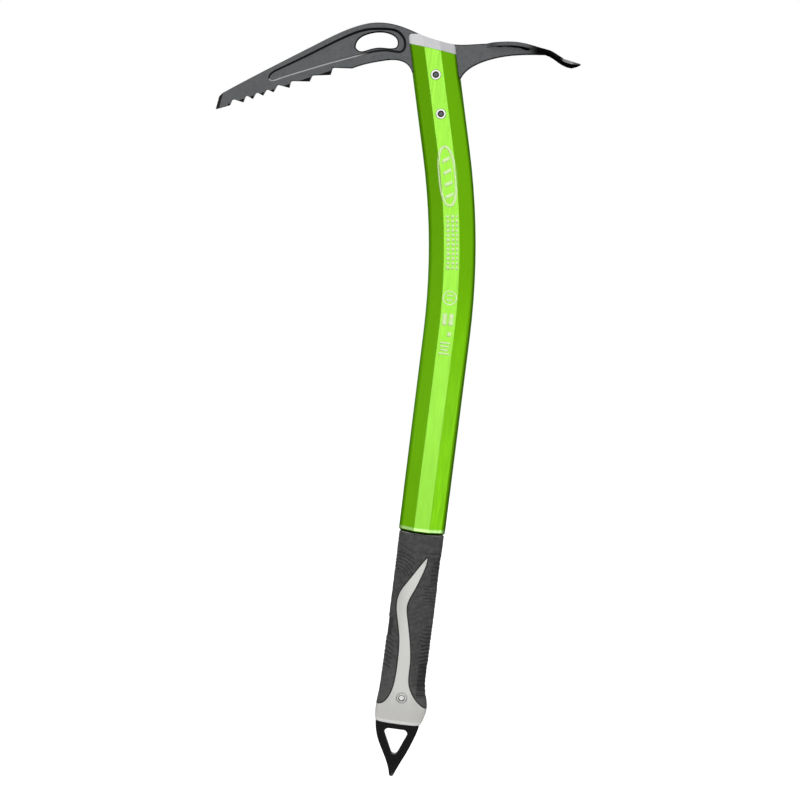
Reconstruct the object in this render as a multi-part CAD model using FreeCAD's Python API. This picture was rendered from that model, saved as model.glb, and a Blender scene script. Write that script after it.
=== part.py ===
import FreeCAD, Part
import math
import os

# Ice axe, 500 mm long, as the separate pieces it is assembled from.
# Frame: origin at the point of the spike, +Z up the straight lower shaft, the pick towards -X and
# the adze towards +X. The plane Y = 0 is the plane of symmetry. Lengths are in millimetres.

# Shaft: a faceted aluminium tube, straight, then bent towards the pick, swaged down inside the grip.
SHAFT_WIDTH = 31.5
SHAFT_DEPTH = 20.0
WALL = 1.4
BEND_START = 305.0
BEND_RADIUS = 480.0
BEND_ANGLE = math.radians(14.5)
SHAFT_OVERRUN = 88.0
TUBE_TOP = ((-48.8, 494.1), (-16.3, 490.6))
SHOULDER = 171.2
SHOULDER_STEPS = (2.8, 0.8)
SHOULDER_LIP = 0.15
NECK_TOP = 169.3
NECK_BOTTOM = 44.6
NECK_WIDTH = 25.1
NECK_DEPTH = 14.6
SLOT_FLOOR = 475.2

# Head: one forged steel plate with pick, karabiner hole, tang and curved adze blade.
HEAD_THICKNESS = 6.0
PICK_TIP_THICKNESS = 4.6
WEB_THICKNESS = 3.0
POCKET_DRAFT = 1.7
HOLE_BEVEL = 0.9
TANG_HALF_WIDTH = 11.5
TANG_END = 14.0
TOOTH_ROOT_RADIUS = 1.5
TOOTH_BEVEL = (2.8, 1.9)
TIP_BEVEL = (3.2, 2.1)
TAPER_START = -50.0
EDGE_BREAK = 0.6
HEAD_LOW, HEAD_HIGH = 420.0, 520.0
BLADE_HALF_WIDTH = 24.0
EDGE_BOW = 5.5
EDGE_DROP = 0.6
CUTTING_EDGE = (66.0, 494.1)
BEVEL_START = (58.5, 495.5)
GROOVE_DEPTH = 1.3
BLADE_FALL = 0.95

# Hollow rivets, each with the stem that set it still inside: two across the head's tang, one across
# the spike's tang.
HEAD_RIVETS = (26.0, 52.0)
SPIKE_RIVET = (0.8, 56.6)
BARREL_RADIUS = 2.8
BORE_RADIUS = 2.2
FLANGE_RADIUS = 3.5
FLANGE_THICKNESS = 0.7
FLANGE_ROUNDING = 0.45
HOLE_CLEARANCE = 0.05
STEM_RADIUS = 1.3
SPIKE_STEM_RADIUS = 1.7
STEM_RECESS = 0.9
COLLAR_HALF_LENGTH = 5.0
SPIKE_RIVET_SEAT = 9.7
SEAT_RADIUS = 3.8

# Grip: a hard core with ferrule and tongues, under a rubber overmould.
GRIP_TOP = 169.2
FERRULE_BOTTOM = 37.5
FERRULE_ROUNDING = 0.9
FIT_GAP = 0.05
SLEEVE_HALF_WIDTH = 13.9
SLEEVE_HALF_DEPTH = 8.5
SLEEVE_BOTTOM = 50.0

# Spike: a steel plate with a triangular eye and a tang inside the shaft's neck.
SPIKE_THICKNESS = 5.0
SPIKE_TANG_HALF_WIDTH = 10.0
SPIKE_TANG_TOP = 78.0
SPIKE_CHEEK_TOP = 74.0
SPIKE_EDGE_BREAK = 0.8

FAR = 60.0


def xz(point):
    """A point of the plane of symmetry."""
    return FreeCAD.Vector(point[0], 0, point[1])


def curve(*points):
    """One smooth edge through points of the plane of symmetry."""
    spline = Part.BSplineCurve()
    spline.interpolate([xz(point) for point in points])
    return [spline.toShape()]


def loop(*points):
    """One smooth closed edge through points of the plane of symmetry."""
    spline = Part.BSplineCurve()
    spline.interpolate(Points=[xz(point) for point in points], PeriodicFlag=True)
    return [spline.toShape()]


def round_corner(before, corner, after, radius):
    """Start, middle and end of the arc that rounds a corner."""
    to_before = (before - corner).normalize()
    to_after = (after - corner).normalize()
    half_angle = to_before.getAngle(to_after) / 2
    reach = radius / math.tan(half_angle)
    inward = (to_before + to_after).normalize()
    middle = corner + inward * (radius / math.sin(half_angle) - radius)
    return corner + to_before * reach, middle, corner + to_after * reach


def chain(*corners, closed=False):
    """Straight edges through corners (x, z); a third value rounds that corner to a radius."""
    points = [xz(corner) for corner in corners]
    radii = [corner[2] if len(corner) > 2 else 0 for corner in corners]
    if closed:
        points = [points[-1]] + points + [points[0]]
        radii = [0] + radii + [0]
    edges = []
    start = None if closed else points[0]
    first = start
    for before, corner, after, radius in zip(points, points[1:], points[2:], radii[1:]):
        if radius:
            arc = round_corner(before, corner, after, radius)
        else:
            arc = (corner, corner, corner)
        if start is not None:
            edges.append(Part.makeLine(start, arc[0]))
        else:
            first = arc[0]
        if radius:
            edges.append(Part.Arc(*arc).toShape())
        start = arc[2]
    edges.append(Part.makeLine(start, first if closed else points[-1]))
    return edges


def plate(edges, thickness):
    """A flat plate of the outline, centred on the plane of symmetry."""
    face = Part.Face(Part.Wire(Part.__sortEdges__(edges)))
    face.translate(FreeCAD.Vector(0, -thickness / 2, 0))
    return face.extrude(FreeCAD.Vector(0, thickness, 0))


def broken_edges(body, thickness, size):
    """A plate with the edges of its two faces chamfered."""
    edges = [edge for edge in body.Edges if abs(abs(edge.CenterOfMass.y) - thickness / 2) < 1e-6]
    return body.makeChamfer(size, edges)


def on_axis(distance, across=0.0):
    """A point of the upper shaft: distance beyond the bend, and across it towards the adze."""
    bend_x = BEND_RADIUS * (math.cos(BEND_ANGLE) - 1)
    bend_z = BEND_START + BEND_RADIUS * math.sin(BEND_ANGLE)
    x = bend_x - distance * math.sin(BEND_ANGLE) + across * math.cos(BEND_ANGLE)
    z = bend_z + distance * math.cos(BEND_ANGLE) + across * math.sin(BEND_ANGLE)
    return x, z


def cross_bar(point, radius):
    """A long round bar along Y through a point of the plane of symmetry."""
    across = FreeCAD.Vector(0, 1, 0)
    return Part.makeCylinder(radius, 2 * FAR, xz(point) - across * FAR, across)


def mirrored(shape):
    """The same shape on the other side of the plane of symmetry."""
    return shape.mirror(FreeCAD.Vector(0, 0, 0), FreeCAD.Vector(0, 1, 0))


def facet_outline(width, depth, height):
    """The shaft's section: flat front and back, two bevelled facets and a round nose on each side."""
    face, facet, facet_depth = width / 6, 0.84 * width / 2, 0.49 * depth / 2
    nose, front = width / 2, depth / 2
    corners = [(face, front), (facet, facet_depth), (facet, -facet_depth), (face, -front)]
    corners += [(-x, y) for x, y in reversed(corners)]
    points = [FreeCAD.Vector(x, y, height) for x, y in corners]
    edges = []
    for index, (start, end) in enumerate(zip(points, points[1:] + points[:1])):
        if index in (1, 5):
            middle = FreeCAD.Vector(math.copysign(nose, start.x), 0, height)
            edges.append(Part.Arc(start, middle, end).toShape())
        else:
            edges.append(Part.makeLine(start, end))
    return Part.Wire(edges)


def bent_bar(inset):
    """The upper shaft as a solid bar, its surface set in from the tube's outside."""
    bend_end = on_axis(0)
    half = BEND_ANGLE / 2
    bend_middle = (BEND_RADIUS * (math.cos(half) - 1), BEND_START + BEND_RADIUS * math.sin(half))
    spine = Part.Wire([
        Part.makeLine(xz((0, SHOULDER)), xz((0, BEND_START))),
        Part.Arc(xz((0, BEND_START)), xz(bend_middle), xz(bend_end)).toShape(),
        Part.makeLine(xz(bend_end), xz(on_axis(SHAFT_OVERRUN))),
    ])
    section = facet_outline(SHAFT_WIDTH - 2 * inset, SHAFT_DEPTH - 2 * inset, SHOULDER)
    return spine.makePipeShell([section], True, True)


def neck_bar(inset):
    """The swaged neck and its shoulder as a solid bar, set in from the tube's outside."""
    neck = facet_outline(NECK_WIDTH - 2 * inset, NECK_DEPTH - 2 * inset, NECK_BOTTOM)
    width, depth = SHAFT_WIDTH - 2 * inset, SHAFT_DEPTH - 2 * inset
    low_step, high_step = SHOULDER_STEPS
    sections = [
        facet_outline(NECK_WIDTH - 2 * inset, NECK_DEPTH - 2 * inset, NECK_TOP),
        facet_outline(width - low_step, depth - low_step, NECK_TOP + SHOULDER_LIP),
        facet_outline(width - high_step, depth - high_step, SHOULDER - high_step),
        facet_outline(width, depth, SHOULDER),
    ]
    straight = Part.Face(neck).extrude(FreeCAD.Vector(0, 0, NECK_TOP - NECK_BOTTOM))
    shoulder = Part.makeLoft(sections, True, True)
    return straight.fuse(shoulder)


def above_tube():
    """Everything above the tube's slanting top end."""
    (left, left_height), (right, right_height) = TUBE_TOP
    slope = (right_height - left_height) / (right - left)
    low_end = (right + FAR, right_height + FAR * slope)
    high_end = (left - FAR, left_height - FAR * slope)
    top = left_height + FAR
    return plate(chain(high_end, low_end, (low_end[0], top), (high_end[0], top), closed=True), 2 * FAR)


def side_slots():
    """The slot in each narrow side of the tube, open at the top, that the head plate slides into."""
    left, right = on_axis(SHAFT_OVERRUN, -SHAFT_WIDTH)[0], on_axis(0, SHAFT_WIDTH)[0]
    top = SLOT_FLOOR + FAR
    corners = [(left, SLOT_FLOOR), (right, SLOT_FLOOR), (right, top), (left, top)]
    return plate(chain(*corners, closed=True), HEAD_THICKNESS + 4 * FIT_GAP)


def shaft_tube():
    outside = bent_bar(0).fuse(neck_bar(0))
    inside = bent_bar(WALL).fuse(neck_bar(WALL))
    tube = outside.cut(inside).cut(above_tube()).cut(side_slots())
    for distance in HEAD_RIVETS:
        tube = tube.cut(cross_bar(on_axis(distance), BARREL_RADIUS + HOLE_CLEARANCE))
    return tube.cut(cross_bar(SPIKE_RIVET, BARREL_RADIUS + HOLE_CLEARANCE))


# Each tooth of the pick: its point, then the root of the notch on its tip side.
TEETH = (
    ((-98.6, 467.4), (-110.8, 465.6)),
    ((-112.0, 461.4), (-124.6, 460.2)),
    ((-125.0, 455.5), (-133.2, 456.7)),
    ((-135.4, 451.3), (-140.2, 452.9)),
    ((-142.0, 448.3), (-146.8, 450.1)),
    ((-148.6, 445.2), (-153.6, 447.4)),
    ((-154.6, 442.2), (-162.3, 443.6)),
)
FIRST_ROOT = (-97.9, 472.3)
TIP_STEP = (-163.4, 439.3)
PICK_TIP = (-172.5, 435.5)
TIP_TOP = (-171.2, 444.3)

# The lines the points of the teeth and the pick's blunt end lie on.
TOOTH_LINE = ((-164.0, 438.2), (-97.0, 468.2))
TIP_LINE = ((-170.7, 447.5), (-172.9, 433.0))


def head_outline():
    """The forged plate from pick tip over the top to the adze neck, and back under with tang and teeth."""
    top = curve((-169.0, 446.7), (-150, 459.9), (-130, 473.3), (-110, 486.6), (-90, 499), (-78, 504),
                (-65, 505.8), (-50, 503.4), (-35, 499), (-26, 497.6), (-19, 497.2), (-10, 498.1),
                (0, 499.9), (12, 501.5), (24, 502.4), (34, 501.2), (43, 499.4))
    under_adze = curve((43, 497.7), (35, 496.9), (25, 495.5), (15, 493.3), (5, 489.8), (-5, 484.2),
                       (-10.4, 478.6), (-11.9, SLOT_FLOOR + 0.2))
    shoulder_height = SLOT_FLOOR + 0.2
    right_shoulder = on_axis(48.9, TANG_HALF_WIDTH)[0]
    left_shoulder = on_axis(54.8, -TANG_HALF_WIDTH)[0]
    tang = chain((-11.9, shoulder_height), (right_shoulder, shoulder_height),
                 (*on_axis(TANG_END, TANG_HALF_WIDTH), 3.0), (*on_axis(TANG_END, -TANG_HALF_WIDTH), 3.0),
                 (left_shoulder, shoulder_height), (-44.6, shoulder_height))
    under_pick = curve((-44.6, shoulder_height), (-46.6, 478.6), (-50, 481.2), (-56.3, 482.4),
                       (-66, 480.6), (-75, 477.8), (-85, 473.4))
    teeth = [(-85, 473.4), (*FIRST_ROOT, TOOTH_ROOT_RADIUS)]
    for point, root in TEETH:
        teeth += [point, (*root, TOOTH_ROOT_RADIUS)]
    teeth += [TIP_STEP, PICK_TIP, (*TIP_TOP, 0.8), (-169.0, 446.7)]
    return top + chain((43, 499.4), (43, 497.7)) + under_adze + tang + under_pick + chain(*teeth)


def karabiner_hole():
    return loop((-84.2, 488.6), (-82.6, 493), (-76.5, 497.2), (-69, 499.2), (-61.5, 498.6), (-57, 495.2),
                (-57.2, 491), (-60.5, 489.7), (-68, 489.3), (-76, 486.8), (-81.5, 485.5))


def pocket_outline():
    """The recess that lightens the pick: its mouth, round behind the karabiner hole."""
    return loop((-140.3, 460.6), (-139.4, 463.6), (-135, 467.3), (-120, 476.6), (-105, 486.3), (-90, 495.6),
                (-78, 500.9), (-66, 502.7), (-57.5, 502.1), (-52.8, 498.6), (-50.6, 492.6), (-51.9, 488.3),
                (-60, 487.0), (-70, 485.7), (-80, 482.0), (-95, 476.0), (-110, 469.6), (-125, 463.0),
                (-133.5, 458.9), (-138.2, 457.7))


def moved_inward(edge, distance, steps=64):
    """A closed edge redrawn through evenly stepped points, each moved inward by the distance."""
    points = []
    start, end = edge.ParameterRange
    for step in range(steps):
        parameter = start + (end - start) * step / steps
        tangent = edge.tangentAt(parameter)
        inward = FreeCAD.Vector(tangent.z, 0, -tangent.x)
        points.append(edge.valueAt(parameter) + inward * distance)
    spline = Part.BSplineCurve()
    spline.interpolate(Points=points, PeriodicFlag=True)
    return Part.Wire(spline.toShape())


def recess(outline, start, end):
    """A recess in one side of the head between two levels, each a depth and a move inward."""
    rings = []
    for depth, move in (start, end):
        ring = moved_inward(outline[0], move)
        ring.translate(FreeCAD.Vector(0, depth - HEAD_THICKNESS / 2, 0))
        rings.append(ring)
    return Part.makeLoft(rings, True, True)


def pocket():
    """One side's pocket, with drafted walls down to the web."""
    return recess(pocket_outline(), (0, 0), ((HEAD_THICKNESS - WEB_THICKNESS) / 2, POCKET_DRAFT))


def hole_rim():
    """The bevel round one side of the karabiner hole."""
    web = (HEAD_THICKNESS - WEB_THICKNESS) / 2
    outer = (web - 0.5 * HOLE_BEVEL, -1.5 * HOLE_BEVEL)
    inner = (web + 2 * HOLE_BEVEL, HOLE_BEVEL)
    return recess(karabiner_hole(), outer, inner)


def slant(start, end, width, depth):
    """What is ground off one side of the head along an edge line: width in from it, and depth at it."""
    along = xz(end) - xz(start)
    inward = FreeCAD.Vector(-along.z, 0, along.x).normalize()
    face, outside = -HEAD_THICKNESS / 2, -HEAD_THICKNESS
    corners = [(width, face), (-width, face + 2 * depth), (-width, outside), (width, outside)]
    points = [xz(start) + inward * across + FreeCAD.Vector(0, y, 0) for across, y in corners]
    return Part.Face(Part.makePolygon(points + points[:1])).extrude(along)


def tip_taper():
    """The wedge that thins the pick from its root to its tip, on one side."""
    root, tip, outside = HEAD_THICKNESS / 2, PICK_TIP_THICKNESS / 2, HEAD_THICKNESS
    end = PICK_TIP[0]
    corners = [(end, tip), (TAPER_START, root), (TAPER_START, outside), (end - 1, outside), (end - 1, tip)]
    points = [FreeCAD.Vector(x, y, HEAD_LOW) for x, y in corners + corners[:1]]
    return Part.Face(Part.makePolygon(points)).extrude(FreeCAD.Vector(0, 0, HEAD_HIGH - HEAD_LOW))


# The adze blade along X: crown height and thickness.
BLADE_STATIONS = (
    (-4, 498.4, 2.6), (3, 500.5, 2.7), (12, 502.5, 2.6), (22, 503.5, 2.5), (30, 502.9, 2.4),
    (36, 501.8, 2.2), (40, 501.1, 2.0), (45, 500.2, 1.9), (50, 498.0, 1.9), (54, 496.3, 2.0),
    (60, 495.3, 2.2), (64, 495.0, 1.5), (68, 494.8, 0.9),
)

# The blade's plan on one side: along X, and the half width there.
BLADE_SIDE = (
    (-3, 1.8), (3, 3.2), (9, 6.0), (16, 7.8), (26, 9.2), (33, 12.0), (41, 16.8), (48, 20.8), (54, 23.2),
    (CUTTING_EDGE[0] - EDGE_BOW, BLADE_HALF_WIDTH),
)


def blade_section(x, crown, thickness):
    """A shallow crescent across the blade: one arc on top, the same arc below."""
    half = BLADE_HALF_WIDTH + 2
    side = crown - BLADE_FALL
    points = [FreeCAD.Vector(x, -half, side), FreeCAD.Vector(x, 0, crown), FreeCAD.Vector(x, half, side)]
    lower = [point - FreeCAD.Vector(0, 0, thickness) for point in points]
    return Part.Wire([
        Part.Arc(*points).toShape(), Part.makeLine(points[2], lower[2]),
        Part.Arc(*reversed(lower)).toShape(), Part.makeLine(lower[0], points[0]),
    ])


def blade_plan():
    """The blade's plan as a block: a narrow flange, then flared sides and a bowed cutting edge."""
    sides = [[FreeCAD.Vector(x, sign * y, HEAD_LOW) for x, y in BLADE_SIDE] for sign in (-1, 1)]
    edges = []
    for side in sides:
        spline = Part.BSplineCurve()
        spline.interpolate(side)
        edges.append(spline.toShape())
    left, right = sides
    middle = FreeCAD.Vector(CUTTING_EDGE[0], 0, HEAD_LOW)
    edges.append(Part.makeLine(left[0], right[0]))
    edges.append(Part.Arc(left[-1], middle, right[-1]).toShape())
    outline = Part.Wire(Part.__sortEdges__(edges))
    return Part.Face(outline).extrude(FreeCAD.Vector(0, 0, HEAD_HIGH - HEAD_LOW))


def edge_bevel():
    """The steel ground away above the cutting edge: a cone about an axis that leans towards the pick."""
    lean = math.atan2(EDGE_DROP, EDGE_BOW)
    sagitta = math.hypot(EDGE_DROP, EDGE_BOW)
    radius = (BLADE_HALF_WIDTH ** 2 + sagitta ** 2) / (2 * sagitta)
    edge, start = xz(CUTTING_EDGE), xz(BEVEL_START)
    centre = edge - FreeCAD.Vector(math.cos(lean), 0, math.sin(lean)) * radius
    outer = edge - (start - edge) * 0.4
    inner = edge + (start - edge) * 1.5
    top = FreeCAD.Vector(outer.x + 4, 0, inner.z + 6)
    face = Part.Face(Part.makePolygon([outer, inner, top, outer]))
    axis = FreeCAD.Vector(-math.sin(lean), 0, math.cos(lean))
    face.rotate(centre, axis, -45)
    return face.revolve(centre, axis, 90)


def neck_groove():
    """The groove along one side of the adze's neck, under the flange."""
    outline = loop((7.9, 499.7), (9.4, 500.6), (14, 501.1), (20, 501.3), (26, 501.1), (30.2, 500.5),
                   (31.4, 499.7), (30.2, 499.1), (26, 499.7), (20, 499.9), (14, 499.7), (9.4, 499.1))
    groove = plate(outline, HEAD_THICKNESS)
    groove.translate(FreeCAD.Vector(0, GROOVE_DEPTH - HEAD_THICKNESS, 0))
    return groove


def adze_blade():
    sheet = Part.makeLoft([blade_section(*station) for station in BLADE_STATIONS], True, False)
    return sheet.common(blade_plan()).cut(edge_bevel())


def head():
    body = broken_edges(plate(head_outline(), HEAD_THICKNESS), HEAD_THICKNESS, EDGE_BREAK)
    body = body.cut(plate(karabiner_hole(), 2 * HEAD_THICKNESS))
    tools = (pocket(), hole_rim(), tip_taper(), neck_groove(), slant(*TOOTH_LINE, *TOOTH_BEVEL),
             slant(*TIP_LINE, *TIP_BEVEL))
    for tool in tools:
        body = body.cut(tool).cut(mirrored(tool))
    body = body.fuse(adze_blade())
    for distance in HEAD_RIVETS:
        body = body.cut(cross_bar(on_axis(distance), BARREL_RADIUS + HOLE_CLEARANCE))
    return body.removeSplitter()


def cap_outline():
    """The part of the cheeks that stands proud of the tube, seen from the side."""
    (left, left_height), (right, right_height) = TUBE_TOP
    top = curve((-43.5, 500.9), (-35, 498.9), (-26, 497.5), (-19, 497.1))
    slope = (right_height - left_height) / (right - left)
    outline = chain((-19, 497.1), (right + 1, right_height + slope), (left - 1, left_height - slope),
                    (-49.3, 500.4, 2.0), (-43.5, 500.9))
    return top + outline


def head_cheek():
    """The filler between head plate and tube on the front side, with its half of the cap."""
    filler_end = on_axis(TANG_END - 3)[1]
    filler = bent_bar(WALL + FIT_GAP).cut(above_tube())
    below = Part.makeBox(4 * FAR, 2 * FAR, filler_end, FreeCAD.Vector(-2 * FAR, -FAR, 0))
    cap = plate(cap_outline(), 2 * FAR).common(bent_bar(0))
    cheek = filler.cut(below).fuse(cap)
    corner = FreeCAD.Vector(-2 * FAR, -FAR - HEAD_THICKNESS / 2 - FIT_GAP, 0)
    cheek = cheek.common(Part.makeBox(4 * FAR, FAR, HEAD_HIGH, corner))
    for distance in HEAD_RIVETS:
        cheek = cheek.cut(cross_bar(on_axis(distance), BARREL_RADIUS + HOLE_CLEARANCE))
    return cheek.removeSplitter()


def rivet(point, seat):
    """A hollow rivet along Y, its two flanges seated at plus and minus seat."""
    across = FreeCAD.Vector(0, 1, 0)
    reach = seat + FLANGE_THICKNESS
    base = xz(point)
    barrel = Part.makeCylinder(BARREL_RADIUS, 2 * seat, base - across * seat, across)
    body = barrel
    for start in (-reach, seat):
        flange = Part.makeCylinder(FLANGE_RADIUS, FLANGE_THICKNESS, base + across * start, across)
        outer_rim = [edge for edge in flange.Edges if abs(abs(edge.CenterOfMass.y) - reach) < 1e-6
                     and abs(edge.Length - 2 * math.pi * FLANGE_RADIUS) < 1e-3]
        body = body.fuse(flange.makeFillet(FLANGE_ROUNDING, outer_rim))
    return body.cut(cross_bar(point, BORE_RADIUS)).removeSplitter()


def rivet_stem(point, seat, radius):
    """The stem left inside a hollow rivet: thin at both ends, with a collar that fills the bore."""
    across = FreeCAD.Vector(0, 1, 0)
    reach = seat + FLANGE_THICKNESS - STEM_RECESS
    stem = Part.makeCylinder(radius, 2 * reach, xz(point) - across * reach, across)
    collar_end = xz(point) - across * COLLAR_HALF_LENGTH
    collar = Part.makeCylinder(BORE_RADIUS, 2 * COLLAR_HALF_LENGTH, collar_end, across)
    return stem.fuse(collar).removeSplitter()


# The grip's outside, bottom to top: height, reach towards the pick, reach towards the adze, half depth.
GRIP_STATIONS = (
    (FERRULE_BOTTOM, 15.3, 15.2, 6.8), (41, 16.1, 16.8, 7.8), (45, 16.4, 18.0, 8.8), (49, 16.4, 18.6, 9.5),
    (53, 16.1, 18.2, 9.9), (58, 15.6, 16.9, 10.1), (66, 15.3, 15.8, 10.1), (90, 15.1, 15.4, 10.1),
    (130, 15.0, 15.3, 10.0), (GRIP_TOP, 15.1, 15.3, 9.9),
)
GRIP_SLICES = 30


def oval(height, left, right, depth, squareness=2.6, steps=28):
    """A closed superellipse across the grip."""
    points = []
    for step in range(steps):
        angle = 2 * math.pi * step / steps
        cosine, sine = math.cos(angle), math.sin(angle)
        reach = right if cosine > 0 else left
        x = math.copysign(reach * abs(cosine) ** (2 / squareness), cosine)
        y = math.copysign(depth * abs(sine) ** (2 / squareness), sine)
        points.append(FreeCAD.Vector(x, y, height))
    spline = Part.BSplineCurve()
    spline.interpolate(Points=points, PeriodicFlag=True)
    return Part.Wire(spline.toShape())


def grip_size(height):
    """The grip's two reaches and half depth at a height, between its stations."""
    for low, high in zip(GRIP_STATIONS, GRIP_STATIONS[1:]):
        if height <= high[0]:
            share = (height - low[0]) / (high[0] - low[0])
            return [start + share * (end - start) for start, end in zip(low[1:], high[1:])]
    return GRIP_STATIONS[-1][1:]


def grip_outside():
    """The whole grip as one solid, with the ferrule's bottom rim rounded."""
    pitch = (GRIP_TOP - FERRULE_BOTTOM) / GRIP_SLICES
    heights = [FERRULE_BOTTOM + pitch * number for number in range(GRIP_SLICES + 1)]
    grip = Part.makeLoft([oval(height, *grip_size(height)) for height in heights], True, False)
    rim = [edge for edge in grip.Edges if abs(edge.CenterOfMass.z - FERRULE_BOTTOM) < 1e-3]
    return grip.makeFillet(FERRULE_ROUNDING, rim)


def core_window():
    """Where the hard core shows: the ferrule, and the flame-shaped tongue that rises from it."""
    low = FERRULE_BOTTOM - 5
    pick_side = curve((-FAR / 2, 46.5), (-17, 49.2), (-12.5, 50.7), (-9, 54.6), (-6.6, 60), (-5.2, 68),
                      (-4.8, 84), (-6, 99), (-8.8, 111), (-10.3, 119), (-9.2, 128), (-4.0, 137.5),
                      (0.9, 145.7), (6.3, 154))
    adze_side = curve((6.3, 154), (5.9, 148.8), (3.7, 141), (0.6, 132), (-3.4, 120), (-2, 111), (1.6, 95),
                      (3.5, 80), (4.4, 66), (8.7, 57.6), (16, 50.9), (FAR / 2, 47.5))
    base = chain((FAR / 2, 47.5), (FAR / 2, low), (-FAR / 2, low), (-FAR / 2, 46.5))
    return plate(pick_side + adze_side + base, 2 * FAR)


def sleeve():
    """The core's tube-shaped part, under the rubber."""
    face = Part.Face(oval(SLEEVE_BOTTOM, SLEEVE_HALF_WIDTH, SLEEVE_HALF_WIDTH, SLEEVE_HALF_DEPTH))
    return face.extrude(FreeCAD.Vector(0, 0, GRIP_TOP - SLEEVE_BOTTOM))


def spike_slot():
    """The slot through the ferrule's closed end for the spike's tang."""
    half = SPIKE_TANG_HALF_WIDTH + 2 * FIT_GAP
    low = FERRULE_BOTTOM - 5
    corners = [(-half, low), (half, low), (half, NECK_BOTTOM), (-half, NECK_BOTTOM)]
    return plate(chain(*corners, closed=True), SPIKE_THICKNESS + 4 * FIT_GAP)


def grip_core():
    window = grip_outside().common(core_window())
    gap = 2 * FIT_GAP
    bore = Part.Face(facet_outline(NECK_WIDTH + gap, NECK_DEPTH + gap, NECK_BOTTOM - gap))
    core = window.fuse(sleeve()).cut(bore.extrude(FreeCAD.Vector(0, 0, GRIP_TOP))).cut(spike_slot())
    core = core.cut(cross_bar(SPIKE_RIVET, BARREL_RADIUS + HOLE_CLEARANCE))
    across = FreeCAD.Vector(0, 1, 0)
    seat = Part.makeCylinder(SEAT_RADIUS, FAR, xz(SPIKE_RIVET) + across * SPIKE_RIVET_SEAT, across)
    return core.cut(seat).cut(mirrored(seat)).removeSplitter()


def grip_rubber():
    return grip_outside().cut(core_window()).cut(sleeve())


def spike():
    half = SPIKE_TANG_HALF_WIDTH
    left_side = curve((-15.2, FERRULE_BOTTOM), (-14.6, 33), (-12.4, 25.4), (-8.6, 17.8), (-5, 11),
                      (-1.5, 0.9))
    right_side = curve((1.5, 0.9), (5.6, 10.8), (8.8, 18), (12, 26.6), (14.1, 33.4), (14.8, FERRULE_BOTTOM))
    point = [Part.Arc(xz((-1.5, 0.9)), xz((0, 0)), xz((1.5, 0.9))).toShape()]
    tang = chain((14.8, FERRULE_BOTTOM), (half, FERRULE_BOTTOM), (half, SPIKE_TANG_TOP, 3),
                 (-half, SPIKE_TANG_TOP, 3), (-half, FERRULE_BOTTOM), (-15.2, FERRULE_BOTTOM))
    body = plate(left_side + point + right_side + tang, SPIKE_THICKNESS)
    body = broken_edges(body, SPIKE_THICKNESS, SPIKE_EDGE_BREAK)
    eye = chain((-10.0, 33.1, 2.9), (8.9, 33.1, 2.9), (0.2, 11.6, 2.6), closed=True)
    body = body.cut(plate(eye, 2 * SPIKE_THICKNESS))
    return body.cut(cross_bar(SPIKE_RIVET, BARREL_RADIUS + HOLE_CLEARANCE)).removeSplitter()


def spike_cheek():
    """The filler between the spike's tang and the neck of the tube, on the front side."""
    inset = 2 * (WALL + FIT_GAP)
    bar = Part.Face(facet_outline(NECK_WIDTH - inset, NECK_DEPTH - inset, NECK_BOTTOM))
    bar = bar.extrude(FreeCAD.Vector(0, 0, SPIKE_CHEEK_TOP - NECK_BOTTOM))
    corner = FreeCAD.Vector(-FAR, -FAR - SPIKE_THICKNESS / 2 - FIT_GAP, 0)
    cheek = bar.common(Part.makeBox(2 * FAR, FAR, 2 * FAR, corner))
    return cheek.cut(cross_bar(SPIKE_RIVET, BARREL_RADIUS + HOLE_CLEARANCE))


def build():
    """Every node of the axe by name."""
    front_head_cheek = head_cheek()
    front_spike_cheek = spike_cheek()
    lower, upper = (on_axis(distance) for distance in HEAD_RIVETS)
    return {
        "head": head(),
        "head_cheek_front": front_head_cheek,
        "head_cheek_back": mirrored(front_head_cheek),
        "shaft_tube": shaft_tube(),
        "head_rivet_upper": rivet(upper, SHAFT_DEPTH / 2),
        "head_rivet_lower": rivet(lower, SHAFT_DEPTH / 2),
        "head_rivet_stem_upper": rivet_stem(upper, SHAFT_DEPTH / 2, STEM_RADIUS),
        "head_rivet_stem_lower": rivet_stem(lower, SHAFT_DEPTH / 2, STEM_RADIUS),
        "grip_core": grip_core(),
        "grip_rubber": grip_rubber(),
        "spike": spike(),
        "spike_cheek_front": front_spike_cheek,
        "spike_cheek_back": mirrored(front_spike_cheek),
        "spike_rivet": rivet(SPIKE_RIVET, SPIKE_RIVET_SEAT),
        "spike_rivet_stem": rivet_stem(SPIKE_RIVET, SPIKE_RIVET_SEAT, SPIKE_STEM_RADIUS),
    }


os.makedirs("parts", exist_ok=True)
for name, shape in build().items():
    print(name, "solids", len(shape.Solids), "valid", shape.isValid(), "volume", round(shape.Volume, 1))
    shape.exportStep("parts/" + name + ".step")
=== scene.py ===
import math

import bpy
import numpy as np
from mathutils import Matrix, Vector
from mathutils.bvhtree import BVHTree


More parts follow.
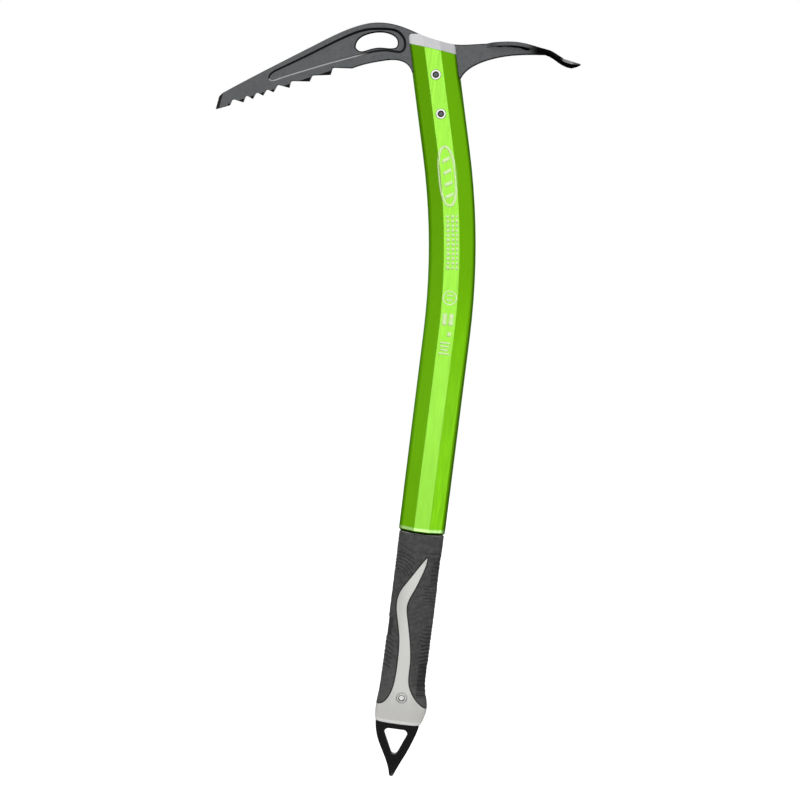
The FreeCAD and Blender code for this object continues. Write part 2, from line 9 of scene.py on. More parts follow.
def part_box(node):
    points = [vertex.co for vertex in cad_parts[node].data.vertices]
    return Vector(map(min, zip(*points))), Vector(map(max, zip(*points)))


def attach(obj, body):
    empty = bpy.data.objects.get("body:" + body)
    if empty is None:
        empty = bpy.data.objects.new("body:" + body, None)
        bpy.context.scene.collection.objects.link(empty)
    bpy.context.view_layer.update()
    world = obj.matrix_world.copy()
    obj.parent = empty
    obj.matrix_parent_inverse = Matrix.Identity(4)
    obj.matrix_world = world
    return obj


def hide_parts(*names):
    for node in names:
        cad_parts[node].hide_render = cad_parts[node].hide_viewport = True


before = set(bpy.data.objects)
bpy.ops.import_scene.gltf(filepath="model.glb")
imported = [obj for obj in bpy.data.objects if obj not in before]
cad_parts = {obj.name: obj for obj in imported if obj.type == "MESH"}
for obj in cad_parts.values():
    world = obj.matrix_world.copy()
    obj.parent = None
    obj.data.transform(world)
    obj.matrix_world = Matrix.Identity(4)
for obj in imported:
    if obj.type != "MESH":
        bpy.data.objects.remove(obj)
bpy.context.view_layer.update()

MM = 0.001

# The axe hangs this far above the floor.
FLOOR_DROP = 0.6

# Brightness of the surroundings in reflections: ahead, at the sides, and behind; then how much of it
# is left low down and overhead.
SKY_FRONT = 0.95
SKY_SIDE = 0.85
SKY_BEHIND = 0.45
SKY_LOW = 0.92
SKY_HIGH = 1.14
# How much of it is left beyond the axe on the adze side, where a dark screen stands.
SHADE_RIGHT = 0.3

# Camera: looks a little down and from the adze side, with the axe leaning clockwise in the picture.
VIEW_ELEVATION = math.radians(5.3)
VIEW_AZIMUTH = math.radians(2.5)
VIEW_ROLL = math.radians(7.1)
VIEW_DISTANCE = 1547 * MM
VIEW_TARGET = Vector((-25.7, 0, 257.0)) * MM
FOCAL_LENGTH = 103.1
SENSOR_WIDTH = 36.0

# The shaft's centreline: straight, then an arc towards the pick, then straight again.
BEND_START = 305 * MM
BEND_RADIUS = 480 * MM
BEND_ANGLE = math.radians(14.5)


# ---------------------------------------------------------------- node materials

class Finish:
    """Builds one node material: small helpers that each add a node and give back its output."""

    def __init__(self, name):
        self.material = bpy.data.materials.new(name)
        self.material.use_nodes = True
        self.tree = self.material.node_tree
        self.tree.nodes.clear()
        self.surface = self.tree.nodes.new("ShaderNodeBsdfPrincipled")
        output = self.tree.nodes.new("ShaderNodeOutputMaterial")
        self.tree.links.new(self.surface.outputs[0], output.inputs["Surface"])
        coordinates = self.tree.nodes.new("ShaderNodeTexCoord")
        self.place = coordinates.outputs["Object"]
        self.facing = coordinates.outputs["Normal"]

    def put(self, socket, value):
        """Links an output to a socket, or gives the socket a fixed value."""
        if isinstance(value, bpy.types.NodeSocket):
            self.tree.links.new(value, socket)
        else:
            socket.default_value = value

    def set(self, **values):
        """Sets inputs of the surface, named with underscores for spaces."""
        for name, value in values.items():
            if isinstance(value, tuple) and len(value) == 3:
                value = (*value, 1)
            self.put(self.surface.inputs[name.replace("_", " ")], value)

    def axis(self, vector, name):
        node = self.tree.nodes.new("ShaderNodeSeparateXYZ")
        self.put(node.inputs[0], vector)
        return node.outputs[name]

    def at(self, name):
        """Where the surface is along one axis of the row frame."""
        return self.axis(self.place, name)

    def turned(self, name):
        """How far the surface faces along one axis, from -1 to 1."""
        return self.axis(self.facing, name)

    def sums(self, operation, first, second=0.0, third=0.0):
        """One step of arithmetic, on outputs or plain numbers."""
        node = self.tree.nodes.new("ShaderNodeMath")
        node.operation = operation
        for socket, value in zip(node.inputs, (first, second, third)):
            self.put(socket, value)
        return node.outputs[0]

    def step(self, value, low, high, start=0.0, end=1.0):
        """A smooth step: start below low, end above high."""
        node = self.tree.nodes.new("ShaderNodeMapRange")
        node.interpolation_type = "SMOOTHSTEP"
        for name, setting in (("From Min", low), ("From Max", high), ("To Min", start), ("To Max", end)):
            node.inputs[name].default_value = setting
        self.put(node.inputs["Value"], value)
        return node.outputs[0]

    def fall(self, value, low, high):
        """A smooth step down: 1 below low, 0 above high."""
        return self.step(value, low, high, 1.0, 0.0)

    def window(self, value, rise, fall):
        """1 between two soft limits, each given as where its change begins and ends."""
        return self.all_of(self.step(value, *rise), self.fall(value, *fall))

    def all_of(self, *masks):
        """The product of masks or plain numbers."""
        product = masks[0]
        for mask in masks[1:]:
            product = self.sums("MULTIPLY", product, mask)
        return product

    def opposite(self, mask):
        """0 where a mask is 1, and 1 where it is 0."""
        return self.sums("SUBTRACT", 1.0, mask)

    def stretched(self, scale):
        """The place, scaled along each axis, so that a pattern on it is drawn out."""
        node = self.tree.nodes.new("ShaderNodeMapping")
        node.inputs["Scale"].default_value = scale
        self.put(node.inputs["Vector"], self.place)
        return node.outputs[0]

    def noise(self, size, detail=3.0, roughness=0.55, along=(1, 1, 1)):
        """Noise with features about size metres across, drawn out where along is under 1."""
        node = self.tree.nodes.new("ShaderNodeTexNoise")
        self.put(node.inputs["Vector"], self.stretched(along))
        node.inputs["Scale"].default_value = 1 / size
        node.inputs["Detail"].default_value = detail
        node.inputs["Roughness"].default_value = roughness
        return node.outputs[0]

    def cells(self, size):
        """A leathery pattern of cells about size metres across."""
        node = self.tree.nodes.new("ShaderNodeTexVoronoi")
        self.put(node.inputs["Vector"], self.place)
        node.inputs["Scale"].default_value = 1 / size
        return node.outputs["Distance"]

    def mix(self, amount, first, second):
        """A colour between two, each an output or a plain colour."""
        node = self.tree.nodes.new("ShaderNodeMix")
        node.data_type = "RGBA"
        self.put(node.inputs[0], amount)
        for socket, value in ((node.inputs[6], first), (node.inputs[7], second)):
            self.put(socket, (*value, 1) if isinstance(value, tuple) else value)
        return node.outputs[2]

    def soft_edges(self, radius):
        """The surface's direction, rounded over its edges."""
        node = self.tree.nodes.new("ShaderNodeBevel")
        node.samples = 4
        node.inputs["Radius"].default_value = radius
        return node.outputs[0]

    def edge_mask(self, radius, low, high):
        """Near 1 on sharp edges, 0 on open faces."""
        node = self.tree.nodes.new("ShaderNodeVectorMath")
        node.operation = "DOT_PRODUCT"
        geometry = self.tree.nodes.new("ShaderNodeNewGeometry")
        self.put(node.inputs[0], self.soft_edges(radius))
        self.put(node.inputs[1], geometry.outputs["Normal"])
        return self.fall(node.outputs["Value"], low, high)

    def cavity(self, radius, low, high):
        """Near 1 deep in corners and grooves, 0 on open faces."""
        node = self.tree.nodes.new("ShaderNodeAmbientOcclusion")
        node.samples = 8
        node.inputs["Distance"].default_value = radius
        return self.fall(node.outputs["AO"], low, high)

    def stored(self, name):
        """A value kept at each corner of the mesh."""
        node = self.tree.nodes.new("ShaderNodeAttribute")
        node.attribute_name = name
        return node.outputs["Fac"]

    def bump(self, height, depth, strength=1.0, over=None):
        """A surface direction that follows a height, on top of another direction if given."""
        node = self.tree.nodes.new("ShaderNodeBump")
        node.inputs["Strength"].default_value = strength
        node.inputs["Distance"].default_value = depth
        self.put(node.inputs["Height"], height)
        if over is not None:
            self.put(node.inputs["Normal"], over)
        return node.outputs[0]


# The head, where a pair says where a change of finish begins and ends. First the plate's half
# thickness, which tapers along the pick, and the stretch of its pocket's ledge and its spine that gets a
# painted highlight.
PLATE_HALF = 3.0 * MM
TIP_HALF = 2.3 * MM
TAPER_START = -50 * MM
HIGHLIGHT_START = (-142 * MM, -138 * MM)
HIGHLIGHT_END = (-84 * MM, -74 * MM)
HIGHLIGHT_TOP = (0.0, 0.2 * MM)
HIGHLIGHT_BOTTOM = (0.8 * MM, 1.1 * MM)
# Then the groove of the adze's neck and the blade, both with painted shade, and the ground band behind its
# bowed cutting edge.
GROOVE_START = (6 * MM, 9 * MM)
GROOVE_END = (32 * MM, 35 * MM)
GROOVE_SIDE = (2.4 * MM, 2.8 * MM)
GROOVE_BOTTOM = (498.2 * MM, 498.8 * MM)
BLADE_START = (30 * MM, 37 * MM)
GROUND_START = (58.3 * MM, 58.8 * MM)
EDGE_BOW = 5.5 * MM


def forged_skin_and_shade(finish, broad, grain, across, slanting):
    """Mottled faces; narrow edges with painted shade, less where they face up; painted shade, black, on
    slanting walls and in corners.
    """
    blotch = finish.noise(2.2 * MM, 3, 0.6)
    face = finish.mix(broad, (0.084, 0.089, 0.095), (0.124, 0.128, 0.134))
    face = finish.mix(finish.step(blotch, 0.5, 0.75, 0.0, 0.6), face, (0.055, 0.057, 0.061))
    face = finish.mix(finish.step(grain, 0.5, 0.7, 0.0, 0.35), face, (0.17, 0.175, 0.18))
    # Narrow edges: painted shade, lighter where they face up, as if lit from above.
    upward = finish.step(finish.turned("Z"), 0.70, 0.80)
    edge = finish.mix(upward, (0.030, 0.031, 0.033), (0.085, 0.088, 0.092))
    # Painted shade: slanting walls, such as the pocket's drafted walls and the chamfers, go black.
    shaded_wall = finish.mix(finish.step(across, 0.25, 0.45), edge, (0.0045, 0.0045, 0.005))
    colour = finish.mix(slanting, face, shaded_wall)
    # Painted shade: corners and grooves go black.
    return finish.mix(finish.cavity(2.2 * MM, 0.25, 0.62), colour, (0.004, 0.004, 0.0045))


def painted_highlight_edges(finish, slanting):
    """Painted highlight on what slants upwards just below the plate's faces: the pocket's lower wall, the
    spine's edges.
    """
    along = finish.at("X")
    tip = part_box("head")[0].x
    taper = (PLATE_HALF - TIP_HALF) / (TAPER_START - tip)
    surface = finish.sums("MULTIPLY_ADD", along, taper, PLATE_HALF - taper * TAPER_START)
    sunk = finish.sums("SUBTRACT", surface, finish.sums("ABSOLUTE", finish.at("Y")))
    upward = finish.step(finish.turned("Z"), 0.2, 0.4)
    in_place = finish.window(along, HIGHLIGHT_START, HIGHLIGHT_END)
    return finish.all_of(in_place, finish.window(sunk, HIGHLIGHT_TOP, HIGHLIGHT_BOTTOM), slanting, upward)


def neck_groove_shade(finish, across):
    """Where shade is painted, near black, into the groove on both sides of the adze's neck."""
    sunk = finish.fall(finish.sums("ABSOLUTE", finish.at("Y")), *GROOVE_SIDE)
    in_place = finish.window(finish.at("X"), GROOVE_START, GROOVE_END)
    above = finish.step(finish.at("Z"), *GROOVE_BOTTOM)
    return finish.all_of(in_place, sunk, finish.step(across, 0.2, 0.5), above)


def ground_band(finish):
    """Bare steel in a bowed band along the cutting edge, except underneath."""
    half_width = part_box("head")[1].y
    y = finish.at("Y")
    bow = EDGE_BOW / half_width ** 2
    reach = finish.sums("MULTIPLY_ADD", finish.all_of(y, y), bow, finish.at("X"))
    return finish.all_of(finish.step(reach, *GROUND_START), finish.step(finish.turned("Z"), -0.3, -0.1))


def forged_steel():
    """Dark phosphated forging: a sandy grain, a painted highlight on the pick's upward-slanting edges,
    painted shade in hollows, in the adze's groove and under its blade, a ground edge.
    """
    finish = Finish("forged_steel")
    broad = finish.noise(9 * MM, 4)
    grain = finish.noise(0.45 * MM, 2)
    across = finish.sums("ABSOLUTE", finish.turned("Y"))
    slanting = finish.fall(across, 0.84, 0.95)
    colour = forged_skin_and_shade(finish, broad, grain, across, slanting)
    # Painted highlight, pale grey, on the pocket's lower wall and the spine's edges where they slant upwards.
    wear_and_highlight = finish.mix(grain, (0.36, 0.36, 0.36), (0.62, 0.62, 0.62))
    colour = finish.mix(painted_highlight_edges(finish, slanting), colour, wear_and_highlight)
    # Painted shade: the neck's groove goes near black.
    groove_shade = neck_groove_shade(finish, across)
    colour = finish.mix(groove_shade, colour, (0.003, 0.003, 0.003))
    # Painted shade: the blade's flanks and underside go near black.
    not_upward = finish.fall(finish.turned("Z"), 0.3, 0.6)
    shaded_under_blade = finish.all_of(finish.step(finish.at("X"), *BLADE_START), not_upward)
    colour = finish.mix(finish.all_of(shaded_under_blade, 0.92), colour, (0.004, 0.004, 0.004))
    ground = ground_band(finish)
    scratches = finish.noise(0.35 * MM, 2, along=(0.06, 1, 1))
    bare = finish.mix(scratches, (0.20, 0.20, 0.20), (0.34, 0.34, 0.338))
    colour = finish.mix(ground, colour, bare)

    # The groove, and the blade's flanks and underside, are dull.
    dull = finish.sums("MAXIMUM", finish.all_of(shaded_under_blade, finish.opposite(ground)), groove_shade)
    open_face = finish.opposite(dull)
    edges = finish.edge_mask(0.35 * MM, 0.9, 0.99)
    worn = finish.all_of(edges, finish.step(broad, 0.55, 0.72), 0.35, open_face)
    colour = finish.mix(worn, colour, (0.30, 0.30, 0.30))
    sheen = finish.all_of(open_face, 0.5)
    finish.set(Metallic=finish.sums("MULTIPLY_ADD", ground, 0.2, sheen), Specular_IOR_Level=sheen)
    finish.set(Base_Color=colour, Roughness=finish.step(grain, 0.2, 0.8, 0.46, 0.66))
    finish.set(Normal=finish.bump(grain, 0.05 * MM, 0.6, finish.soft_edges(0.3 * MM)))
    return finish.material


# About where the tube's full section begins, above the grip.
SHOULDER = 171.0 * MM


def anodised_green():
    """Bright green anodised tube: flat faces paler with a painted reflection, drawn lines, handling marks, a
    painted highlight on the lower rim and painted shadow below it.
    """
    finish = Finish("anodised_green")
    drawn = finish.noise(0.5 * MM, 3, along=(1, 1, 0.02))
    broad = finish.noise(30 * MM, 3)
    marks = finish.step(finish.noise(1.6 * MM, 5, 0.7), 0.66, 0.74)
    deep = finish.mix(broad, (0.150, 0.450, 0.001), (0.168, 0.490, 0.002))
    # The flat faces get a painted reflection: paler and bluer than the slanting facets.
    pale = finish.mix(broad, (0.188, 0.450, 0.034), (0.206, 0.490, 0.040))
    across = finish.sums("ABSOLUTE", finish.turned("Y"))
    colour = finish.mix(finish.step(across, 0.90, 0.98), deep, pale)
    colour = finish.mix(finish.all_of(marks, 0.25), colour, (0.30, 0.62, 0.10))
    height = finish.at("Z")
    # A painted highlight on the rim just above the shoulder, and painted shadow below it.
    rim_highlight_start = (SHOULDER, SHOULDER + 0.4 * MM)
    rim_highlight_end = (SHOULDER + 1.4 * MM, SHOULDER + 2.8 * MM)
    rim_highlight = finish.window(height, rim_highlight_start, rim_highlight_end)
    colour = finish.mix(finish.all_of(rim_highlight, 0.6), colour, (0.62, 0.90, 0.40))
    shadow_below = finish.fall(height, SHOULDER - 0.8 * MM, SHOULDER + 0.1 * MM)
    colour = finish.mix(shadow_below, colour, (0.020, 0.045, 0.001))
    finish.set(Coat_Weight=0.08, Coat_Roughness=0.14, Specular_Tint=(0.35, 0.7, 0.05))
    finish.set(Base_Color=colour, Metallic=1.0, Roughness=finish.step(drawn, 0.3, 0.7, 0.30, 0.40))
    finish.set(Normal=finish.bump(drawn, 0.012 * MM, 0.5, finish.soft_edges(0.5 * MM)))
    return finish.material


def satin_aluminium():
    """Machined aluminium cheeks: a fine bead-blasted grain, with a painted highlight on the facets facing the
    pick.
    """
    finish = Finish("satin_aluminium")
    grain = finish.noise(0.3 * MM, 3)
    broad = finish.noise(6 * MM, 3)
    colour = finish.mix(broad, (0.54, 0.54, 0.565), (0.62, 0.62, 0.64))
    # Painted highlight: the facets that face the pick are lighter.
    lit_towards_pick = finish.fall(finish.turned("X"), -0.45, -0.25)
    colour = finish.mix(lit_towards_pick, colour, (0.84, 0.84, 0.86))
    finish.set(Base_Color=colour, Metallic=0.12, Roughness=finish.step(grain, 0.3, 0.7, 0.34, 0.46))
    finish.set(Normal=finish.bump(grain, 0.02 * MM, 0.5, finish.soft_edges(0.4 * MM)))
    return finish.material


def silver_moulding():
    """Silver satin moulding of the grip's core: orange-peel skin, paler towards the bottom, with a painted
    highlight round its lower rim.
    """
    finish = Finish("silver_moulding")
    skin = finish.noise(0.9 * MM, 2)
    fleck = finish.noise(0.16 * MM, 1)
    broad = finish.noise(12 * MM, 4)
    colour = finish.mix(broad, (0.58, 0.58, 0.56), (0.68, 0.68, 0.655))
    colour = finish.mix(finish.all_of(fleck, 0.25), colour, (0.85, 0.85, 0.83))
    height = finish.sums("SUBTRACT", finish.at("Z"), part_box("grip_core")[0].z)
    low = finish.step(height, 0.5 * MM, 18.5 * MM, 0.55, 0.0)
    colour = finish.mix(low, colour, (0.90, 0.875, 0.84))
    # Painted highlight round the lower rim.
    rim_highlight = finish.step(height, 1.9 * MM, 3.1 * MM, 0.95, 0.0)
    colour = finish.mix(rim_highlight, colour, (0.98, 0.98, 0.97))
    finish.set(Base_Color=colour, Metallic=0.2, Roughness=finish.step(broad, 0.3, 0.7, 0.38, 0.5))
    finish.set(Normal=finish.bump(skin, 0.03 * MM, 0.35, finish.soft_edges(0.35 * MM)))
    return finish.material


def grip_rubber_skin():
    """Black moulded rubber: leathery grain, dusty, paler low down, with painted shade in its grooves and
    along its seam with the core.
    """
    finish = Finish("grip_rubber_skin")
    grain = finish.cells(0.8 * MM)
    fine = finish.noise(0.25 * MM, 2)
    dust = finish.noise(3.4 * MM, 4, 0.6)
    colour = finish.mix(finish.step(dust, 0.35, 0.7), (0.040, 0.040, 0.040), (0.070, 0.069, 0.068))
    low = finish.step(finish.at("Z"), 66 * MM, 92 * MM, 0.45, 0.0)
    colour = finish.mix(low, colour, (0.098, 0.097, 0.096))
    # Painted shade, near black, in the grooves and along the seam.
    colour = finish.mix(finish.stored("groove_shade"), colour, (0.005, 0.005, 0.005))
    finish.set(Base_Color=colour, Roughness=finish.step(fine, 0.3, 0.7, 0.6, 0.8))
    coarse = finish.bump(finish.noise(2.4 * MM, 3), 0.25 * MM, 0.35)
    finish.set(Normal=finish.bump(fine, 0.03 * MM, 0.5, finish.bump(grain, 0.09 * MM, 0.5, coarse)))
    return finish.material


def black_steel():
    """Blackened spike: bare and scratched towards its point."""
    finish = Finish("black_steel")
    broad = finish.noise(4 * MM, 5, 0.65)
    grain = finish.noise(0.4 * MM, 2)
    near_point = finish.fall(finish.at("Z"), 1 * MM, 9 * MM)
    bare = finish.all_of(near_point, finish.step(broad, 0.45, 0.62), 0.35)
    edge = finish.all_of(finish.edge_mask(0.3 * MM, 0.88, 0.99), 0.25)
    colour = finish.mix(broad, (0.0018, 0.0018, 0.002), (0.0050, 0.0050, 0.0053))
    colour = finish.mix(finish.sums("MAXIMUM", bare, edge), colour, (0.2, 0.2, 0.2))
    finish.set(Base_Color=colour, Metallic=0.4, Roughness=finish.step(grain, 0.3, 0.7, 0.38, 0.55))
    finish.set(Specular_IOR_Level=0.22)
    finish.set(Normal=finish.bump(grain, 0.03 * MM, 0.5, finish.soft_edges(0.4 * MM)))
    return finish.material


def rivet_steel():
    """Plated rivets with a soft sheen, with painted shade inside their bores."""
    finish = Finish("rivet_steel")
    grain = finish.noise(0.35 * MM, 3)
    colour = finish.mix(grain, (0.38, 0.38, 0.36), (0.52, 0.52, 0.50))
    # Painted shade, near black, deep in the bores.
    colour = finish.mix(finish.cavity(1.6 * MM, 0.2, 0.6), colour, (0.010, 0.009, 0.008))
    finish.set(Base_Color=colour, Metallic=1.0, Roughness=finish.step(grain, 0.3, 0.7, 0.22, 0.4))
    finish.set(Normal=finish.bump(grain, 0.02 * MM, 0.5, finish.soft_edges(0.2 * MM)))
    return finish.material


def stem_steel(name, dark, pale):
    """The broken end of a rivet's stem: rough steel."""
    finish = Finish(name)
    grain = finish.noise(0.3 * MM, 4, 0.7)
    colour = finish.mix(grain, (dark, dark, dark), (pale, pale, pale))
    finish.set(Base_Color=colour, Metallic=0.9, Roughness=finish.step(grain, 0.3, 0.7, 0.4, 0.6))
    finish.set(Normal=finish.bump(grain, 0.08 * MM, 0.8))
    return finish.material


def pale_print():
    """Pale print on the shaft, slightly rubbed."""
    finish = Finish("pale_print")
    wear_and_highlight = finish.noise(1.2 * MM, 4, 0.7)
    colour = finish.mix(finish.step(wear_and_highlight, 0.35, 0.7), (0.78, 0.98, 0.52), (0.62, 0.93, 0.34))
    finish.set(Base_Color=colour, Metallic=0.1, Roughness=finish.step(wear_and_highlight, 0.3, 0.7, 0.42, 0.6))
    finish.set(Normal=finish.bump(wear_and_highlight, 0.01 * MM, 0.3))
    return finish.material


def paint(node, material):
    """Gives a CAD node, a piece or the floor its material."""
    node.data.materials.clear()
    node.data.materials.append(material)


# ---------------------------------------------------------------- shared geometry

def tree_of(node):
    """A search tree of a CAD node's surface."""
    mesh = node.data
    corners = [vertex.co.copy() for vertex in mesh.vertices]
    faces = [tuple(face.vertices) for face in mesh.polygons]
    return BVHTree.FromPolygons(corners, faces)


def smooth_step(value, low, high):
    """A smooth step on numbers or arrays: 0 below low, 1 above high."""
    share = np.clip((value - low) / (high - low), 0, 1)
    return share * share * (3 - 2 * share)


def new_piece(name, corners, faces):
    """A mesh piece in the row frame, riding on the axe."""
    mesh = bpy.data.meshes.new(name)
    mesh.from_pydata([tuple(corner) for corner in corners], [], faces)
    mesh.validate()
    mesh.update()
    piece = bpy.data.objects.new(name, mesh)
    bpy.context.scene.collection.objects.link(piece)
    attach(piece, "root")
    return piece


def thicken(piece, thickness):
    """Gives an open sheet a closed thickness, inwards from its face, and smooth shading."""
    modifier = piece.modifiers.new("thickness", "SOLIDIFY")
    modifier.thickness = thickness
    modifier.offset = -1
    graph = bpy.context.evaluated_depsgraph_get()
    solid = bpy.data.meshes.new_from_object(piece.evaluated_get(graph))
    piece.modifiers.clear()
    piece.data = solid
    for face in solid.polygons:
        face.use_smooth = True


# ---------------------------------------------------------------- rubber grip

# The grid that the skin is made on, the skin's thickness, and the depth of a full groove.
GRIP_COLUMNS = 340
GRIP_ROW_PITCH = 0.28 * MM
GRIP_END_MARGIN = 0.02 * MM
GRIP_SKIN = 1.25 * MM
RIB_DEPTH = 0.7 * MM
# How far the skin rolls inwards along the silver core's outline, and at its top end over what height.
SEAM_ROLL = 0.75 * MM
TOP_ROLL = 0.8 * MM
TOP_ROLL_HEIGHT = 0.9 * MM
# How far the skin reaches in over the core past their seam.
SEAM_COVER = 0.25 * MM


def grip_radii(heights, angles):
    """How far the grip's surface is from its axis, by height and angle, from the CAD solids."""
    trees = [tree_of(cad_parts[name]) for name in ("grip_core", "grip_rubber")]
    far = 60 * MM
    radii = np.zeros((len(heights), len(angles)))
    for row, height in enumerate(heights):
        for column, angle in enumerate(angles):
            out = Vector((math.cos(angle), math.sin(angle), 0))
            start = Vector((0, 0, height)) + out * far
            for tree in trees:
                distance = tree.ray_cast(start, -out, far)[3]
                if distance is not None:
                    radii[row, column] = max(radii[row, column], far - distance)
    return radii


def blurred(grid, passes):
    """Evens out a grid that wraps round in its second direction."""
    for _ in range(passes):
        grid = (np.roll(grid, 1, 1) + 2 * grid + np.roll(grid, -1, 1)) / 4
        padded = np.vstack([grid[:1], grid, grid[-1:]])
        grid = (padded[:-2] + 2 * padded[1:-1] + padded[2:]) / 4
    return grid


def rib_wave(phase):
    """Rounded ribs with narrow grooves between them: 0 on a rib, 1 in a groove."""
    return np.clip(np.cos(2 * math.pi * phase) * 1.5 - 0.5, 0, 1)


def between(value, low, high, blend):
    """1 from low to high, fading to 0 over the blend outside them."""
    return smooth_step(value, low - blend, low) * (1 - smooth_step(value, high, high + blend))


def grip_relief(x, z, inside):
    """The moulded pattern by place, and by distance from the seam, all in millimetres: 1 is a full groove."""
    def ribs(line, pitch, reach, low, high, blend=2):
        """Ribs along a line's values, over a reach of the width, from one height to another."""
        return rib_wave(line / pitch) * reach * between(z, low, high, blend)

    # Ribs on the adze side, from the bottom up: level, leaning, curved, level.
    adze_edge = smooth_step(x, 9.0, 11.0)
    leaning = z - 0.22 * (x - 12)
    curved = z - 0.06 * (x - 13) ** 2
    depth = 0.55 * ribs(z, 3.3, adze_edge, 58, 78)
    depth = depth + ribs(leaning, 2.6, adze_edge, 80, 92, 3)
    depth = depth + 0.6 * ribs(curved, 2.6, smooth_step(x, 6.5, 10), 94, 106)
    depth = depth + 0.45 * ribs(z, 2.1, smooth_step(x, 5.5, 8), 122, 134)
    trench = smooth_step(x, 9.8, 11.2) * (between(z, 135, 153, 2) + between(z, 59, 79, 3))
    depth = depth + 0.35 * trench * (1 + rib_wave(z / 2.9))

    # On the pick side: leaning ribs, a plain hollow above them, and arcs at the top.
    pick_ribs = z + 0.45 * x
    depth = depth + 0.8 * ribs(pick_ribs, 3.1, smooth_step(-x, 9.0, 10.5), 76, 97)
    depth = depth + 0.6 * smooth_step(-x, 11.0, 12.5) * between(z, 98, 109, 1.5)
    ring = np.hypot(x + 13.5, z - 136.5)
    arcs = between(ring, 7, 19, 1.5) * smooth_step(z, 138, 141) * smooth_step(-x, 1.0, 3.5)
    depth = depth + 0.55 * rib_wave(ring / 2.35) * arcs

    # A line beside the tongue, a line across the top, and shallow dimples nearly everywhere.
    beside_tongue = np.exp(-((inside - 1.9) / 0.32) ** 2) * between(z, 66, 99, 4) * smooth_step(x, 2, 4)
    upper_line = np.where(x > 0, 156.8, 156.5 - 0.5 * np.minimum(x + 4, 0))
    across_top = np.exp(-((z - upper_line) / 0.35) ** 2) * smooth_step(np.abs(x), 3, 6)
    waves = (1 + np.sin(2.1 * x + 0.8 * z)) * (1 + np.sin(0.9 * x - 1.7 * z))
    dimples = 0.12 * waves * between(z, 60, 154, 4)
    return depth + 0.5 * (beside_tongue + across_top + dimples)


def distance_from_seam(x, y, z):
    """How far each point is from the core, less how far it is from the rubber: over 0 on the rubber."""
    core = tree_of(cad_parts["grip_core"])
    rubber = tree_of(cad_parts["grip_rubber"])
    distance = np.zeros_like(z)
    for place in np.ndindex(z.shape):
        point = Vector((x[place], y[place], z[place]))
        distance[place] = core.find_nearest(point)[3] - rubber.find_nearest(point)[3]
    return distance


def kept_faces(keep):
    """The faces of a grid, which wraps round in its second direction, that have all four corners kept."""
    rows, columns = keep.shape
    faces = []
    for row in range(rows - 1):
        for column in range(columns):
            after = (column + 1) % columns
            if keep[row, column] and keep[row, after] and keep[row + 1, column] and keep[row + 1, after]:
                start = row * columns
                above = start + columns
                faces.append((start + column, start + after, above + after, above + column))
    return faces


def rubber_grip():
    """The overmould as a closed skin: moulded ribs, rolled edges round the core's tongue and ferrule."""
    low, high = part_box("grip_rubber")
    rows = int((high.z - low.z) / GRIP_ROW_PITCH)
    heights = np.linspace(low.z + GRIP_END_MARGIN, high.z - GRIP_END_MARGIN, rows)
    angles = np.linspace(0, 2 * math.pi, GRIP_COLUMNS, endpoint=False)
    cosine = np.cos(angles)[None, :]
    sine = np.sin(angles)[None, :]
    radii = blurred(grip_radii(heights, angles), 6)
    x = radii * cosine
    y = radii * sine
    z = np.repeat(heights[:, None], GRIP_COLUMNS, 1)
    inside = blurred(distance_from_seam(x, y, z), 2)

    at_seam = 1 - smooth_step(inside, -0.15 * MM, 0.55 * MM)
    at_top = np.clip(1 - (high.z - z) / TOP_ROLL_HEIGHT, 0, 1)
    pattern = np.clip(grip_relief(x / MM, z / MM, inside / MM), 0, 1)
    grooves = smooth_step(inside, 0.3 * MM, 1.0 * MM) * pattern
    depth = SEAM_ROLL * at_seam ** 1.5 + TOP_ROLL * at_top ** 2 + RIB_DEPTH * grooves
    # Painted shade: the grooves, and a band along the seam with the core, are stored for the skin to darken.
    near_seam = 1 - smooth_step(inside, 0.3 * MM, 1.3 * MM)
    shade = np.clip(0.95 * grooves + 0.9 * near_seam, 0, 1)

    corners = np.stack([(radii - depth) * cosine, (radii - depth) * sine, z], 2).reshape(-1, 3)
    faces = kept_faces(inside > -SEAM_COVER)
    used = sorted({corner for face in faces for corner in face})
    order = {corner: index for index, corner in enumerate(used)}
    faces = [tuple(order[corner] for corner in face) for face in faces]
    piece = new_piece("rubber_grip", corners[used], faces)
    groove_shade = piece.data.attributes.new("groove_shade", "FLOAT", "POINT")
    groove_shade.data.foreach_set("value", shade.reshape(-1)[used])
    thicken(piece, GRIP_SKIN)
    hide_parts("grip_rubber")
    paint(piece, grip_rubber_skin())


# ---------------------------------------------------------------- marks on the shaft

# How thick a mark is, how far apart the points that follow the shaft are, and where rays at its
# front face start from.
MARK_THICKNESS = 0.05 * MM
MARK_STEP = 0.8 * MM
RAY_START = -100 * MM


def on_shaft(along, across):
    """A point of the shaft's centre plane: along its centreline, and across it towards the adze."""
    turn = min(max((along - BEND_START) / BEND_RADIUS, 0), BEND_ANGLE)
    straight = along if turn == 0 else BEND_START
    rest = max(along - BEND_START - BEND_RADIUS * BEND_ANGLE, 0)
    x = BEND_RADIUS * (math.cos(turn) - 1) - rest * math.sin(turn) + across * math.cos(turn)
    z = straight + BEND_RADIUS * math.sin(turn) + rest * math.cos(turn) + across * math.sin(turn)
    return x, z


